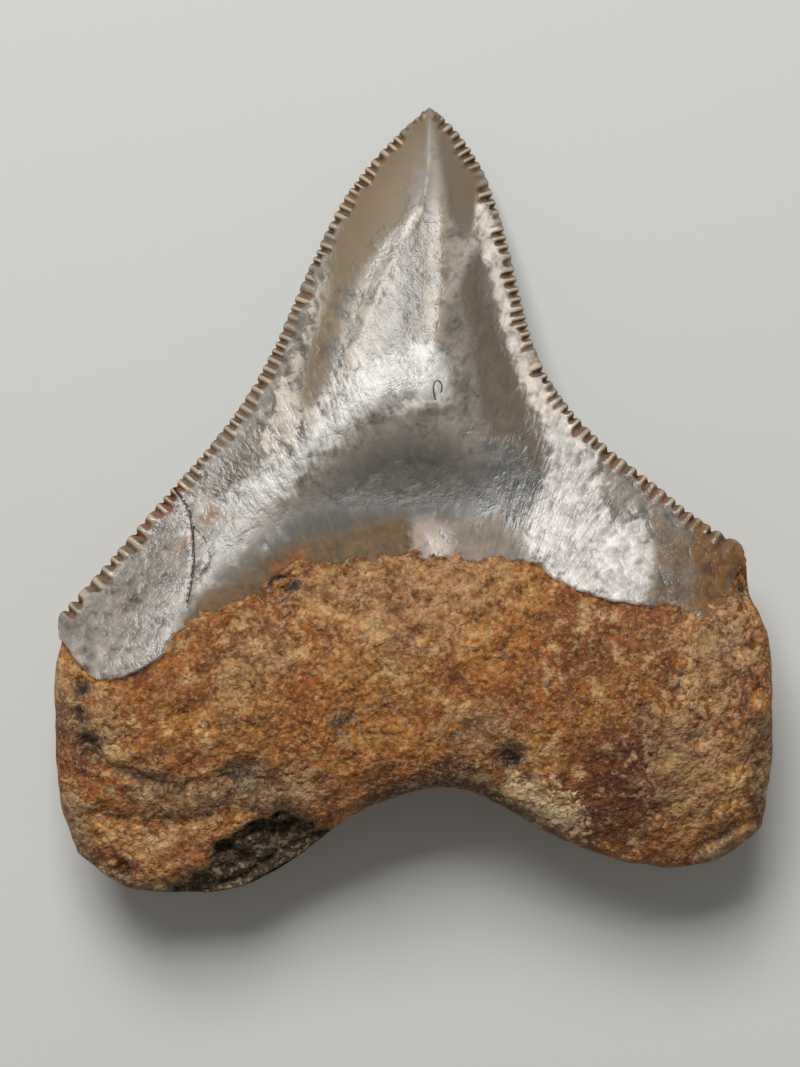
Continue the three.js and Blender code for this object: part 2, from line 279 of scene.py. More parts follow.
# patches of colour on the enamel's labial face: name, colour, strength, softness, raggedness, outline
enamelZones = [
    zone("flake", (160, 149, 138), 0.9, 0.3, 0.6, [
        (-19.7, 0.5), (-18.3, -1.4), (-18.1, -3.7), (-18.0, -5.7), (-18.3, -8.6), (-19.0, -12.0),
        (-26.3, -18.0), (-31.0, -14.0), (-31.0, -10.0), (-25.4, -5.0), (-22.6, -1.9)]),
    zone("flakeShade", (126, 113, 98), 0.65, 0.8, 1.8, [
        (-20.5, -3.0), (-22.1, -4.1), (-23.6, -6.9), (-24.9, -8.7), (-24.3, -10.5), (-22.1, -8.7),
        (-20.7, -6.5), (-19.4, -4.3)]),
    zone("paleShoulder", (196, 188, 178), 0.8, 0.5, 1.5, [
        (-19.5, 0.3), (-17.7, -0.2), (-14.8, -0.4), (-13.5, -0.8), (-15.0, -2.9), (-16.3, -5.2),
        (-17.3, -7.4), (-18.1, -8.5), (-17.9, -5.3), (-18.2, -2.4)]),
    zone("leftBrown", (122, 108, 92), 0.85, 0.6, 1.5, [
        (-12.9, 5.6), (-12.1, 3.6), (-12.4, 1.8), (-14.2, 0.3), (-16.4, -0.5), (-17.4, -0.1),
        (-16.2, 1.4), (-14.5, 3.9)]),
    # pale streaky enamel, lightened further as a painted highlight
    zone("paleLeft", (216, 202, 186), 0.85, 0.4, 2.2, [
        (-6.3, 20.2), (-5.7, 19.6), (-6.4, 17.2), (-7.2, 14.8), (-8.2, 13.0), (-9.0, 11.4), (-9.5, 8.8),
        (-9.0, 6.8), (-7.6, 8.4), (-6.6, 10.6), (-6.1, 12.5), (-4.0, 11.6), (-5.6, 9.1), (-7.7, 6.9),
        (-9.4, 4.9), (-11.2, 3.6), (-12.6, 4.4), (-12.2, 6.3), (-11.2, 8.3), (-10.2, 10.9),
        (-9.1, 13.4), (-8.1, 15.9), (-7.2, 18.3)]),
    zone("midPale", (178, 167, 153), 0.85, 0.8, 1.6, [
        (-0.5, 23.8), (0.4, 23.7), (-0.1, 21.6), (-0.8, 18.9), (-1.1, 16.4), (-1.5, 13.7), (-2.8, 12.1),
        (-5.3, 12.0), (-5.8, 13.7), (-5.2, 17.0), (-4.0, 19.4), (-3.0, 20.9), (-1.8, 22.1)]),
    zone("upperRightPale", (190, 178, 166), 0.85, 0.4, 1.4, [
        (2.8, 21.6), (4.1, 21.7), (5.2, 21.9), (5.6, 20.7), (4.7, 19.5), (4.1, 18.1), (3.6, 16.4),
        (2.7, 16.0)]),
    zone("blueGrey", (110, 109, 105), 0.8, 0.8, 1.5, [
        (5.5, 4.6), (9.6, 4.2), (11.3, 2.1), (10.9, 0.0), (8.8, -1.6), (7.0, -2.6),
        (4.4, -2.0), (4.2, 1.0)]),
    zone("darkHollow", (98, 92, 84), 0.95, 1.6, 2.4, [
        (-0.8, 4.6), (1.4, 4.8), (3.6, 3.9), (5.3, 1.6), (5.6, -0.8), (3.4, -2.4), (0.1, -2.8),
        (-2.4, -3.6), (-5.3, -4.4), (-10.2, -6.2), (-15.8, -8.8), (-16.4, -7.2), (-14.4, -5.4),
        (-11.8, -3.2), (-8.8, -0.8), (-6.4, 1.4), (-4.4, 3.0), (-2.6, 4.2)]),
    # painted highlight: the arch where the enamel tilts towards the window, lightened in the colour
    zone("archHighlight", (214, 209, 200), 0.9, 0.9, 1.8, [
        (-19.0, -3.4), (-16.4, -0.8), (-13.0, 1.7), (-10.4, 3.5), (-8.6, 5.6), (-6.6, 8.4),
        (-3.9, 10.7), (-1.6, 12.2), (1.2, 13.2), (2.9, 12.0), (3.6, 9.4), (2.7, 7.6), (0.5, 7.6),
        (-2.1, 7.4), (-4.2, 6.2), (-6.6, 4.2), (-8.8, 2.2), (-10.8, 0.2), (-12.8, -1.8), (-14.8, -3.6),
        (-16.4, -5.0), (-17.4, -6.0)]),
    zone("bandShade", (152, 143, 130), 0.8, 1.0, 2.2, [
        (-18.6, -4.0), (-15.6, -1.6), (-12.6, 0.4), (-11.6, -1.4), (-14.2, -3.8), (-17.0, -6.0)]),
    zone("tanBase", (118, 93, 63), 0.95, 0.9, 1.0, [
        (-12.3, -4.6), (-9.4, -3.6), (-5.7, -2.7), (-2.4, -1.8), (-0.1, -1.6), (1.0, -4.1), (1.0, -8.0),
        (-6.1, -8.6), (-10.8, -9.6), (-14.7, -12.6), (-19.4, -13.4), (-18.6, -8.6), (-14.7, -6.9),
        (-13.3, -5.7)]),
    zone("tanRight", (136, 116, 96), 0.8, 0.9, 1.8, [
        (2.8, -2.2), (7.0, -1.9), (9.2, -4.2), (9.2, -8.0), (3.0, -8.0)]),
    zone("pinkPatch", (180, 160, 142), 0.85, 0.5, 1.4, [
        (0.0, -1.5), (2.0, -1.9), (3.2, -3.5), (3.0, -6.3), (0.4, -6.3), (-0.4, -3.7)]),
    # painted highlight along the crest of the blade's middle ridge
    zone("ridgeHighlight", (169, 155, 137), 0.9, 0.35, 1.0, [
        (1.6, 31.9), (2.0, 30.1), (2.3, 27.8), (2.8, 25.7), (3.1, 23.6), (3.4, 21.3), (3.1, 18.5),
        (2.7, 15.5), (2.7, 12.5), (1.5, 13.0), (0.7, 12.5), (0.6, 15.5), (1.1, 18.9), (1.3, 22.2),
        (1.4, 25.0), (1.5, 28.5)]),
    zone("streakGrey", (134, 124, 112), 0.75, 0.3, 1.4, [
        (1.2, 29.4), (1.4, 25.9), (1.1, 22.4), (0.9, 19.6), (0.6, 16.4), (0.2, 13.4), (-1.1, 13.4),
        (-1.0, 16.4), (-0.5, 19.6), (0.1, 22.6), (0.7, 25.4)]),
    # painted highlight along the second, thinner ridge that splits off at the tip
    zone("leftRidgeHighlight", (214, 200, 184), 0.85, 0.2, 0.6, [
        (1.4, 32.1), (1.3, 29.8), (1.3, 27.8), (1.0, 25.7), (0.4, 24.1), (-0.7, 22.9), (-1.0, 21.9),
        (-0.1, 22.2), (0.6, 23.8), (1.2, 25.9)]),
    zone("leftBlade", (130, 109, 78), 0.95, 0.7, 1.6, [
        (1.5, 32.4), (1.2, 30.6), (0.8, 28.4), (0.4, 26.0), (-0.2, 24.5), (-1.0, 23.3), (-2.2, 22.3),
        (-3.5, 20.8), (-4.4, 19.4), (-5.2, 18.1), (-5.9, 16.2), (-6.5, 14.7), (-6.9, 12.8),
        (-7.0, 11.0), (-7.8, 8.8), (-9.1, 7.0), (-9.6, 8.6), (-9.2, 10.8), (-8.6, 13.0), (-7.7, 15.3),
        (-7.4, 17.7), (-7.2, 20.0), (-6.7, 22.2), (-5.7, 24.6), (-4.5, 26.9), (-3.1, 29.0),
        (-1.2, 31.2), (0.6, 33.2)]),
    zone("rightBlade", (128, 110, 90), 0.95, 0.4, 0.8, [
        (1.7, 32.2), (2.0, 30.6), (2.3, 28.4), (2.7, 26.0), (3.0, 24.0), (3.7, 22.9), (4.1, 21.9),
        (4.8, 22.1), (5.2, 23.2), (5.4, 25.0), (5.7, 26.5), (5.4, 28.0), (5.0, 29.6), (4.1, 31.1),
        (2.6, 33.0)]),
    zone("rightStreaks", (142, 130, 118), 0.8, 0.4, 1.6, [
        (2.8, 15.7), (3.7, 16.2), (4.2, 14.2), (4.8, 11.3), (5.3, 8.3), (5.5, 5.3), (4.2, 5.4),
        (3.3, 8.6), (2.7, 12.1)]),
    # the enamel's brown, darkened further as painted shade of the flank turned away from the light
    zone("darkStrip", (110, 92, 76), 0.92, 0.6, 1.6, [
        (5.9, 20.7), (6.4, 18.5), (6.6, 16.4), (7.2, 14.5), (7.9, 12.4), (8.6, 10.4), (9.2, 8.8),
        (9.7, 7.1), (10.0, 5.3), (11.0, 3.8), (11.0, 1.8), (10.1, 2.1), (9.1, 4.1), (7.6, 4.6),
        (6.2, 4.9), (5.5, 8.3), (4.9, 11.3), (4.5, 14.2), (3.9, 16.2), (4.2, 18.5), (5.1, 20.2)]),
    # painted highlight: the bright strip along the right edge, where the surface turns back towards the
    # light
    zone("rightEdgeHighlight", (240, 226, 212), 0.95, 0.4, 1.0, [
        (5.5, 24.6), (6.9, 22.9), (7.5, 20.8), (7.8, 18.5), (8.3, 16.4), (8.9, 14.2), (9.6, 12.1),
        (10.5, 10.2), (11.5, 8.6), (12.6, 7.2), (13.6, 5.8), (12.3, 4.4), (11.1, 5.4), (10.0, 7.3),
        (9.2, 9.0), (8.4, 11.3), (7.7, 13.4), (7.1, 15.7), (6.6, 18.1), (5.9, 20.2), (5.4, 22.2)]),
    # painted highlight: the gleam of the crinkled enamel at the lower right, lightened in the colour
    zone("foilHighlight", (222, 214, 206), 0.95, 0.6, 2.0, [
        (10.9, 5.3), (12.1, 6.8), (13.6, 5.6), (14.8, 3.8), (15.4, 1.9), (15.3, -0.2), (16.4, -2.0),
        (18.9, -1.5), (19.9, -4.1), (20.0, -6.3), (18.8, -9.8), (17.4, -9.6), (15.3, -9.1),
        (13.3, -8.0), (11.4, -6.2), (9.6, -4.5), (9.5, -2.2), (11.0, 0.3), (11.4, 2.5)]),
    zone("greyRight", (126, 106, 84), 0.9, 0.8, 2.4, [
        (19.7, -1.4), (22.8, -3.4), (22.9, -8.5), (23.8, -10.6), (21.9, -10.8), (19.8, -10.1),
        (19.0, -8.8), (20.0, -6.6), (20.1, -4.1)]),
    zone("amberRight", (126, 88, 46), 0.95, 0.9, 2.6, [
        (22.8, -2.3), (25.0, -2.5), (28.5, -4.0), (29.0, -6.3), (27.8, -8.0), (25.3, -9.8),
        (23.7, -11.2), (22.8, -8.6), (22.5, -5.7)]),
    zone("stainHigh", (142, 86, 36), 0.7, 0.35, 1.8, [
        (-18.0, -2.2), (-17.2, -1.1), (-15.9, -0.6), (-16.2, -2.0), (-17.3, -3.0)]),
    zone("stainLow", (136, 84, 40), 0.7, 0.25, 1.2, [
        (-19.3, -4.1), (-18.5, -3.3), (-18.3, -4.3), (-19.0, -5.0)]),
    zone("amberWedge", (138, 92, 48), 0.9, 0.2, 0.5, [
        (-12.1, -5.9), (-10.4, -4.6), (-8.6, -4.4), (-8.9, -5.6), (-11.0, -7.0)]),
]

# and the same on the root
rootZones = [
    zone("rustUpperLeft", (146, 84, 38), 0.6, 1.2, 4.0, [
        (-18.5, -9.6), (-13.5, -8.8), (-9.4, -7.6), (-7.5, -9.4), (-11.6, -11.9), (-14.9, -13.7),
        (-18.3, -16.1), (-21.6, -16.0), (-22.4, -14.2)]),
    zone("paleCentre", (188, 148, 104), 0.55, 1.2, 5.0, [
        (-10.0, -5.7), (-1.1, -4.0), (4.6, -4.3), (9.2, -6.0), (7.5, -8.6), (2.2, -12.3), (-1.1, -15.6),
        (-4.4, -12.7), (-6.9, -9.6), (-10.0, -8.6)]),
    zone("rustRight", (134, 78, 38), 0.75, 1.4, 4.0, [
        (12.0, -7.8), (18.6, -9.5), (22.0, -10.7), (20.3, -13.7), (16.9, -15.3), (12.8, -14.5),
        (10.4, -11.1)]),
    zone("darkRedLow", (96, 47, 17), 0.9, 1.8, 4.0, [
        (14.4, -20.1), (19.3, -16.8), (22.0, -20.1), (21.2, -25.0), (18.7, -29.4), (14.5, -29.4),
        (12.7, -25.0)]),
    zone("creamRight", (192, 156, 112), 0.7, 0.8, 4.0, [
        (22.7, -9.4), (27.2, -9.3), (28.5, -12.7), (26.9, -16.0), (23.4, -16.9), (20.8, -16.1),
        (22.0, -12.7)]),
    zone("creamRightLow", (208, 168, 118), 0.55, 0.6, 5.0, [
        (18.5, -17.8), (23.4, -16.1), (26.9, -20.1), (27.4, -24.4), (24.4, -26.9), (20.2, -26.0),
        (18.6, -22.5)]),
    zone("creamCrust", (230, 198, 150), 0.9, 0.3, 2.5, [
        (7.5, -22.4), (10.4, -23.7), (13.7, -24.9), (14.4, -28.1), (12.0, -28.2), (9.6, -26.5),
        (7.5, -24.7)]),
    zone("paleLeft2", (200, 160, 114), 0.6, 0.5, 2.5, [
        (-26.3, -16.0), (-24.4, -16.6), (-23.7, -20.5), (-22.3, -23.0), (-24.7, -23.2),
        (-26.3, -20.2)]),
    zone("oliveShelf", (136, 114, 76), 0.75, 0.4, 2.0, [
        (-23.7, -23.9), (-21.6, -23.0), (-17.1, -23.2), (-15.4, -24.2), (-16.2, -26.1), (-21.7, -26.7),
        (-23.3, -25.5)]),
    zone("lipRight", (150, 122, 92), 0.8, 0.3, 2.0, [
        (23.0, -29.8), (26.6, -27.8), (29.6, -27.0), (29.6, -30.5), (24.0, -32.5)]),
    zone("creamLeft", (190, 150, 104), 0.6, 0.4, 3.0, [
        (-31.0, -13.0), (-27.9, -14.0), (-27.5, -16.8), (-31.0, -18.4)]),
    zone("paleLowLeft", (180, 146, 108), 0.65, 0.5, 3.0, [
        (-30.5, -23.4), (-27.2, -24.4), (-26.2, -28.0), (-27.0, -31.0), (-31.0, -29.0)]),
    zone("paleShelf", (186, 152, 112), 0.65, 0.4, 3.0, [
        (-15.5, -23.6), (-12.5, -22.6), (-8.5, -22.6), (-7.0, -24.8), (-9.6, -26.0), (-13.4, -26.4),
        (-15.8, -25.4)]),
    zone("greyFacet", (112, 94, 72), 0.75, 0.5, 2.0, [
        (27.5, -18.0), (29.8, -17.8), (29.9, -25.5), (28.2, -26.5), (27.3, -23.4)]),
    zone("leftGrey", (110, 88, 66), 0.7, 0.5, 2.5, [
        (-29.3, -16.8), (-27.3, -15.8), (-26.3, -18.1), (-25.4, -21.7), (-27.0, -22.4),
        (-29.0, -20.2)]),
    zone("greenGrey", (116, 104, 74), 0.7, 0.5, 3.0, [
        (-15.5, -22.1), (-12.4, -21.7), (-11.0, -24.2), (-14.3, -25.0)]),
    # painted shade on the side wall under the left lobe's lower edge
    zone("shadedLowerWall", (96, 80, 62), 0.8, 0.4, 2.0, [
        (-28.0, -29.6), (-26.3, -29.9), (-24.2, -31.2), (-20.0, -32.0), (-17.0, -32.4), (-12.0, -31.4),
        (-12.0, -34.0), (-20.0, -34.5), (-27.0, -33.0)]),
    zone("ochreLow", (214, 158, 100), 0.85, 0.6, 3.0, [
        (-25.6, -27.4), (-21.8, -26.9), (-16.5, -26.6), (-13.4, -26.9), (-14.7, -28.1), (-17.2, -29.9),
        (-19.3, -31.0), (-23.4, -30.2), (-25.9, -28.9)]),
    zone("rustLow", (176, 104, 52), 0.8, 0.3, 2.0, [
        (-21.5, -30.2), (-19.4, -28.6), (-16.4, -27.2), (-15.2, -27.8), (-16.2, -29.6),
        (-19.0, -31.0)]),
    zone("upperPale", (186, 148, 102), 0.6, 0.8, 4.0, [
        (-15.2, -11.9), (-12.5, -10.3), (-9.3, -11.9), (-10.1, -14.2), (-13.3, -16.0), (-15.3, -18.4),
        (-16.6, -16.8)]),
    # painted shade on the wall of the root's arch, which faces away from the light
    zone("shadedArchWall", (78, 54, 34), 0.8, 0.3, 1.2, [
        (-6.5, -27.5), (-3.0, -24.7), (-0.2, -23.0), (2.1, -21.5), (3.9, -21.2), (5.4, -21.9),
        (6.6, -23.3), (8.6, -25.1), (11.0, -27.2), (13.2, -28.7), (10.4, -29.0), (6.3, -25.4),
        (3.4, -24.6), (-0.2, -24.9), (-4.3, -27.2)]),
    zone("archGreen", (150, 122, 84), 0.6, 0.8, 3.0, [
        (3.4, -16.8), (7.1, -16.8), (8.7, -20.5), (7.1, -22.5), (3.8, -20.9)]),
]

# low ridges in the enamel, the first two down the middle of the blade and the third around the hollow:
# path, reach, height
reliefRidges = [
    ([(1.5, 31.5), (2.2, 27.0), (2.6, 22.0), (2.4, 16.0), (1.6, 11.5)], 0.9, 0.22),
    ([(1.4, 31.5), (1.1, 27.0), (-0.3, 22.6), (-2.8, 17.5), (-5.0, 12.0)], 0.6, 0.12),
    ([(-17.2, -4.8), (-14.4, -2.0), (-10.4, 1.2), (-6.4, 5.2), (-2.2, 8.6), (2.6, 9.2)], 2.2, 0.4),
]


def copyOfTooth():
    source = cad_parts["tooth"]
    piece = bpy.data.objects.new("tooth_surface", source.data.copy())
    bpy.context.scene.collection.objects.link(piece)
    onlySelect(piece)
    bpy.ops.object.mode_set(mode="EDIT")
    bpy.ops.mesh.select_all(action="SELECT")
    bpy.ops.mesh.remove_doubles(threshold=toothValues["mergeDistance"] * mm)
    anyAngle = math.radians(180)
    bpy.ops.mesh.tris_convert_to_quads(face_threshold=anyAngle, shape_threshold=anyAngle)
    bpy.ops.object.mode_set(mode="OBJECT")
    return piece


def outlineEdges(mesh):
    # edges between a face that looks up and one that looks down
    shape = bmesh.new()
    shape.from_mesh(mesh)
    shape.edges.ensure_lookup_table()
    found = []
    for edge in shape.edges:
        ups = [face.normal.z > 0 for face in edge.link_faces]
        if len(ups) == 2 and ups[0] != ups[1]:
            found.append(edge.index)
    shape.free()
    return found


def isCrownEdge(point):
    leftEnd, rightEnd = toothValues["creaseAbove"]
    return point[1] > (leftEnd if point[0] < 0 else rightEnd)


def smoothTooth(piece):
    mesh = piece.data
    points = readPoints(mesh)
    crease = mesh.attributes.new("crease_edge", "FLOAT", "EDGE")
    for number in outlineEdges(mesh):
        a, b = mesh.edges[number].vertices
        if isCrownEdge(points[a]) and isCrownEdge(points[b]):
            crease.data[number].value = 1.0
    softener = piece.modifiers.new("soften", "SUBSURF")
    softener.levels = toothValues["subdivisions"]
    softener.render_levels = toothValues["subdivisions"]
    onlySelect(piece)
    bpy.ops.object.modifier_apply(modifier="soften")
    crease = mesh.attributes.get("crease_edge")
    if crease:
        mesh.attributes.remove(crease)


def cuttingEdges(mesh):
    points = readPoints(mesh)
    rim = set()
    for number in outlineEdges(mesh):
        rim.update(mesh.edges[number].vertices)
    rim = points[[number for number in rim if isCrownEdge(points[number])]]
    top = rim[np.argmax(rim[:, 1])]
    left = rim[rim[:, 0] <= top[0]]
    right = rim[rim[:, 0] >= top[0]]
    left = left[np.argsort(-left[:, 1])]
    right = right[np.argsort(-right[:, 1])]
    return left[:, :2], right[:, :2]


tooth = copyOfTooth()
print("stage: copied", len(tooth.data.vertices), "points", len(tooth.data.polygons), "faces")
smoothTooth(tooth)
leftEdge, rightEdge = cuttingEdges(tooth.data)
print("stage: smoothed", len(tooth.data.vertices), "points")


def ridgeAlong(points, path, reach, height):
    gap = measureFromPath(points, roundedPath(path))[0]
    return height * np.exp(-(gap / reach) ** 2)


def shapeRelief(points, looksUp):
    for path, reach, height in reliefRidges:
        points[:, 2] += ridgeAlong(points, path, reach, height) * looksUp


def serrationCrest(along, values):
    # 1 on the crest of a serration and 0 in the notch between two
    pitch = toothValues["serrationPitch"]
    wideFrom = values["wideFrom"]
    wider = values["wider"]
    beyond = np.clip(along - wideFrom, 0.0, None)
    count = along / pitch - beyond * (wider - 1.0) / (pitch * wider)
    count += toothValues["serrationJitter"] * lineNoise(along, 1.7, values["seed"])
    lower = smoothStep(along, wideFrom - 12.0, wideFrom)
    count += toothValues["lowJitter"] * lower * lineNoise(along, 2.3, values["seed"] + 6)
    return np.abs(np.sin(np.pi * count))


def serrationStrength(along, values):
    # uneven, worn near the tip and coarser near the shoulder
    wideFrom = values["wideFrom"]
    noise = lineNoise(along, 0.9, values["seed"] + 2)
    uneven = np.clip(0.9 + toothValues["unevenness"] * noise, 0.25, 1.5)
    wornUntil = values["wornUntil"]
    wearAndDimming = 1.0 - values["wornBy"] * (1.0 - smoothStep(along, wornUntil - 5.0, wornUntil))
    wearAndDimming *= 1.0 + 0.35 * smoothStep(along, wideFrom - 8.0, wideFrom)
    return uneven * wearAndDimming


def fluteLengths(along, values):
    wornUntil = values["wornUntil"]
    length = toothValues["fluteLength"] * (0.9 + 0.45 * lineNoise(along, 0.85, values["seed"] + 4))
    return length * (0.4 + 0.6 * smoothStep(along, 0.4 * wornUntil, 1.2 * wornUntil))


def cutSerrations(points, normals):
    groove = np.zeros(len(points))
    ridge = np.zeros(len(points))
    rimDistance = np.full(len(points), toothValues["farAway"])
    outward = np.sign(normals[:, 2])
    for path, otherPath, values in (
        (leftEdge, rightEdge, serrationValues["left"]), (rightEdge, leftEdge, serrationValues["right"]),
    ):
        distance, along, _, sideways = measureFromPath(points, path)
        otherDistance = measureFromPath(points, otherPath)[0]
        total = np.hypot(*(path[1:] - path[:-1]).T).sum()
        onCrown = smoothStep(along, 0.7, 1.9) * smoothStep(total - along, 0.1, 1.2)
        onCrown *= smoothStep(otherDistance - distance, 0.0, 0.4)
        crest = serrationCrest(along, values)
        strength = serrationStrength(along, values) * onCrown
        notch = (1.0 - crest ** 0.8) * strength
        valley = (1.0 - crest ** 2.0) * strength
        length = fluteLengths(along, values)
        nearRim = 1.0 - smoothStep(distance, 0.1, 0.9)
        reach = 1.0 - smoothStep(distance, 0.5 * length, length)
        cut = values["wayIn"] * toothValues["notchDepth"] * notch * nearRim
        points[:, :2] += sideways * cut[:, None]
        lift = toothValues["fluteLift"] * strength * crest * smoothStep(distance, 0.0, 0.3)
        dip = toothValues["fluteDepth"] * valley * smoothStep(distance, 0.0, 0.25)
        points[:, 2] += outward * (lift - dip) * reach
        closer = distance < rimDistance
        rimDistance[closer] = distance[closer]
        groove = np.maximum(groove, np.clip(valley * reach, 0.0, 1.0))
        ridge = np.maximum(ridge, np.clip(crest ** 3 * strength * reach, 0.0, 1.0))
    return groove, ridge, rimDistance


def shapeEnamelEdge(points, normals, looksUp):
    over, _, sideOver, _ = measureFromPath(points, roundedPath(enamelLine, 1))
    under, _, sideUnder, _ = measureFromPath(points, roundedPath(enamelLineUnder))
    enamel = np.where(looksUp, over * sideOver, under * sideUnder)
    # sharp on both flakes and feathered between them
    x = points[:, 0]
    feathered = smoothStep(x, -20.5, -18.5) * (1.0 - smoothStep(x, 9.0, 10.5))
    feathered += smoothStep(x, 19.0, 20.5)
    crispness = np.where(looksUp, 1.0 - 0.75 * np.clip(feathered, 0.0, 1.0), 0.4)
    wander = 0.1 + 0.55 * (1.0 - crispness)
    ragged = enamel + wander * lumpyNoise(points, 0.9, 21, 2)
    step = toothValues["enamelStep"] * crispness
    raised = smoothStep(ragged, -0.05, 0.07) * np.exp(-np.clip(ragged, 0.0, None) / 2.6)
    lowered = (1.0 - smoothStep(ragged, -0.07, 0.05)) * np.exp(np.clip(ragged, None, 0.0) / 1.4)
    points += normals * (step * (0.3 * raised - 0.7 * lowered))[:, None]
    return ragged, crispness


def roughenRoot(points, normals, amount):
    total = np.full(len(points), -toothValues["rootInset"])
    for size, height, seed in toothValues["rootLumps"]:
        total += height * lumpyNoise(points, size, seed)
    share = toothValues["sideRoughness"]
    share = share + (1.0 - share) * smoothStep(np.abs(normals[:, 2]), 0.35, 0.8)
    points += normals * (total * share * amount)[:, None]


def keepInBox(points):
    low, high = np.array(cadBox) / mm
    margin = toothValues["boxMargin"]
    for axis, sign in ((0, 1.0), (0, -1.0), (1, -1.0), (2, 1.0)):
        limit = high[axis] if sign > 0 else -low[axis]
        over = sign * points[:, axis] - (limit - margin)
        pressed = limit - margin + margin * (1.0 - np.exp(-np.clip(over, 0.0, None) / margin))
        points[:, axis] = np.where(over > 0, sign * pressed, points[:, axis])
    return np.clip(points, low, high)


def digPits(points, looksUp):
    dug = np.zeros(len(points))
    rough = lumpyNoise(points, 0.8, 31, 2)
    for x, y, radius, depth in rootPits:
        away = np.hypot(points[:, 0] - x, points[:, 1] - y) / radius + 0.3 * rough
        pit = np.exp(-np.clip(away, 0.0, None) ** 4) * looksUp
        points[:, 2] -= depth * pit * (0.75 + 0.5 * rough)
        dug = np.maximum(dug, pit * smoothStep(rough, -0.7, 0.3))
    for path, width, depth, drop in rootGrooves:
        gap, _, side, _ = measureFromPath(points, roundedPath(path))
        groove = np.exp(-(gap / width * (1.0 + 0.5 * rough)) ** 2) * looksUp
        beyond = gap * -side + 0.3 * rough
        lower = smoothStep(beyond, -0.1, 0.3) * np.exp(-gap / 1.6) * looksUp
        points[:, 2] -= depth * groove + drop * lower
        dug = np.maximum(dug, 0.8 * groove * smoothStep(rough, -0.4, 0.5))
    return dug


def breakLobe(points, looksUp):
    # the left lobe's lower edge is broken away, down to a dark and rough face
    gap, _, side, _ = measureFromPath(points, roundedPath(scarpLine))
    rough = lumpyNoise(points, 1.8, 41, 3)
    crumbs = lumpyNoise(points, 0.9, 44)
    beyond = np.where(side < 0, gap, -gap) + 0.5 * rough + 0.35 * crumbs
    within = smoothStep(points[:, 0], -21.5, -19.0) * (1.0 - smoothStep(points[:, 0], -7.6, -6.2))
    broken = smoothStep(beyond, 0.0, 0.35) * within * looksUp
    hollow = np.exp(-((beyond - 0.7) / 0.6) ** 2) * smoothStep(points[:, 0], -13.5, -11.5)
    drop = toothValues["brokenDrop"] + 0.5 * np.clip(beyond, 0.0, 5.0)
    drop += toothValues["brokenRoughness"] * rough + 0.5 * crumbs + 1.2 * hollow
    lowest = np.minimum(points[:, 2], toothValues["brokenLedge"] + 0.8 * rough + 0.4 * crumbs)
    points[:, 2] = np.maximum(points[:, 2] - broken * drop, lowest)
    return broken


def cutCracks(points, looksUp):
    crack = np.full(len(points), toothValues["farAway"])
    for path, width in crackLines:
        gap = measureFromPath(points, roundedPath(path))[0]
        gap = np.where(looksUp, gap, toothValues["farAway"])
        crack = np.minimum(crack, gap / width)
        points[:, 2] -= toothValues["crackDepth"] * width * np.exp(-(gap / 0.1) ** 2)
    return crack


def measureZone(points, outline, looksUp):
    # millimetres inside a closed outline, and negative outside it
    closed = roundedPath(outline + outline[:1], 1)
    reach = toothValues["zoneReach"]
    measured = np.full(len(points), -reach)
    low = closed.min(axis=0) - reach
    high = closed.max(axis=0) + reach
    nearby = looksUp & np.all((points[:, :2] > low) & (points[:, :2] < high), axis=1)
    close = points[nearby]
    distance = measureFromPath(close, closed)[0]
    inside = np.zeros(len(close), dtype=bool)
    for (x0, y0), (x1, y1) in zip(closed[:-1], closed[1:]):
        if y0 == y1:
            continue
        crosses = (close[:, 1] > y0) != (close[:, 1] > y1)
        inside ^= crosses & (close[:, 0] < (x1 - x0) * (close[:, 1] - y0) / (y1 - y0) + x0)
    measured[nearby] = np.clip(np.where(inside, distance, -distance), -reach, reach)
    return measured


def shapeTooth(piece):
    mesh = piece.data
    points = readPoints(mesh)
    normals = readNormals(mesh)
    looksUp = (normals[:, 2] > 0).astype(float)
    shapeRelief(points, looksUp)
    enamelSide, crispness = shapeEnamelEdge(points, normals, looksUp > 0)
    onRoot = 1.0 - smoothStep(enamelSide, -0.4, 0.1)
    roughenRoot(points, normals, onRoot)
    pits = digPits(points, looksUp)
    broken = breakLobe(points, looksUp)
    crack = cutCracks(points, looksUp > 0)
    groove, ridge, rimDistance = cutSerrations(points, normals)
    writePoints(mesh, keepInBox(points))
    values = {
        "enamelSide": enamelSide, "crispness": crispness, "groove": groove, "ridge": ridge,
        "rimDistance": rimDistance, "pits": pits, "broken": broken, "crack": crack, "looksUp": looksUp,
    }
    for patch in enamelZones + rootZones:
        values[patch["name"]] = measureZone(points, patch["outline"], looksUp > 0)
    for name, amounts in values.items():
        storeValue(mesh, name, amounts)


